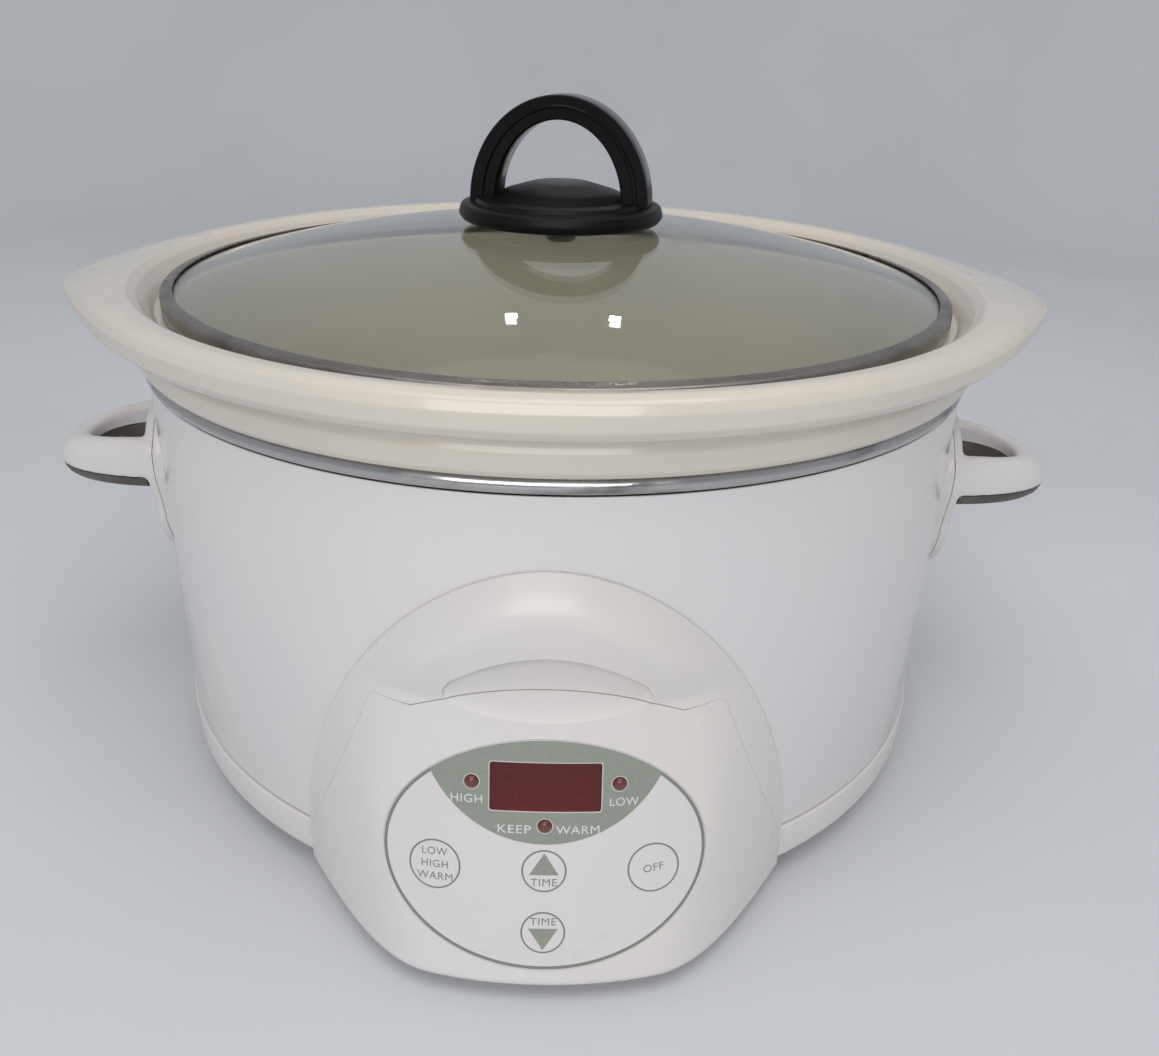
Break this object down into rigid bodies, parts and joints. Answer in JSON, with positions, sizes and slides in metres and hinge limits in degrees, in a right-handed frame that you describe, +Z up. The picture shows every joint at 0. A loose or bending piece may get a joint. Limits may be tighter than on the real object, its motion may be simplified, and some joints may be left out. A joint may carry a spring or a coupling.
{
  "type": "slow cooker",
  "caption": "Round electric slow cooker: heated steel-wrapped base with a front control pod, lift-out lugged crock, domed glass lid with an arched knob.",
  "frame": {"origin": "centre of the cooker's footprint, on the table", "axes": "+Z up, +X to the right-hand handle, -Y towards the person at the controls"},
  "size_m": [0.388, 0.3292, 0.233],
  "materials": {
    "painted_steel": "smooth off-white gloss enamel",
    "white_plastic": "satin moulded off-white plastic",
    "grey_plastic": "fine-textured dark warm grey plastic",
    "black_plastic": "polished black phenolic",
    "chrome": "bright rolled chrome",
    "steel": "plain brushed steel",
    "stoneware": "glossy cream glaze over stoneware",
    "glass": "clear tempered glass with a faint green tint",
    "rubber": "matt black rubber",
    "panel_film": "printed polycarbonate film, off-white with a grey-green crescent",
    "red_acrylic": "deep red filter acrylic",
    "clear_epoxy": "clear moulded epoxy with a pink cast",
    "circuit_board": "green solder mask",
    "black_epoxy": "moulded black epoxy",
    "mica": "mica and glass-fibre insulated heater",
    "relay_plastic": "blue moulded plastic",
    "lead_sleeve": "silicone rubber sleeve"
  },
  "bodies": {
    "base": {"heating_liner": "steel", "heater_band": "mica", "rim_ring": "chrome", "bottom_plate": "steel", "pan_bolt": "steel", "pan_nut": "steel", "base_screw_1": "steel", "base_screw_2": "steel", "base_screw_3": "steel", "foot_1": "rubber", "foot_2": "rubber", "foot_3": "rubber", "foot_4": "rubber", "temperature_sensor": "steel", "thermal_fuse": "chrome", "outer_wrap": "painted_steel", "cord_gland": "black_plastic", "handle_right_shell": "white_plastic", "handle_right_grip": "grey_plastic", "handle_right_screw_upper": "steel", "handle_right_screw_lower": "steel", "handle_right_grip_screw": "steel", "handle_left_shell": "white_plastic", "handle_left_grip": "grey_plastic", "handle_left_screw_upper": "steel", "handle_left_screw_lower": "steel", "handle_left_grip_screw": "steel", "base_housing": "white_plastic", "control_hood": "white_plastic", "hood_screw_left": "steel", "hood_screw_right": "steel", "panel_overlay": "panel_film", "display_window": "red_acrylic", "led_display": "black_epoxy", "led_high": "clear_epoxy", "led_low": "clear_epoxy", "led_keep_warm": "clear_epoxy", "control_board": "circuit_board", "board_screw_left": "steel", "board_screw_right": "steel", "switch_mode": "black_epoxy", "switch_time_up": "black_epoxy", "switch_time_down": "black_epoxy", "switch_off": "black_epoxy", "power_board": "circuit_board", "power_relay": "relay_plastic", "power_capacitor": "black_epoxy", "heater_lead_left": "lead_sleeve", "heater_lead_right": "lead_sleeve"},
    "crock": {"stoneware_crock": "stoneware"},
    "lid": {"lid_glass": "glass", "lid_rim_band": "steel", "lid_knob": "black_plastic", "knob_gasket": "rubber", "knob_washer": "rubber", "knob_screw": "steel"},
    "button_mode": {"button_mode": "panel_film"},
    "button_time_up": {"button_time_up": "panel_film"},
    "button_time_down": {"button_time_down": "panel_film"},
    "button_off": {"button_off": "panel_film"}
  },
  "joints": [
    {"name": "crock_lift", "type": "slide", "parent": "base", "child": "crock", "axis": [0, 0, 1], "range_m": [0, 0.16]},
    {"name": "lid_lift", "type": "slide", "parent": "crock", "child": "lid", "axis": [0, 0, 1], "range_m": [0, 0.12]},
    {"name": "button_mode_press", "type": "slide", "parent": "base", "child": "button_mode", "axis": [0, 0.9612, -0.2759], "range_m": [0, 0.0004], "stiffness_N_per_m": 800},
    {"name": "button_time_up_press", "type": "slide", "parent": "base", "child": "button_time_up", "axis": [0, 0.9612, -0.2759], "range_m": [0, 0.0004], "stiffness_N_per_m": 800},
    {"name": "button_time_down_press", "type": "slide", "parent": "base", "child": "button_time_down", "axis": [0, 0.9612, -0.2759], "range_m": [0, 0.0004], "stiffness_N_per_m": 800},
    {"name": "button_off_press", "type": "slide", "parent": "base", "child": "button_off", "axis": [0, 0.9612, -0.2759], "range_m": [0, 0.0004], "stiffness_N_per_m": 800}
  ]
}
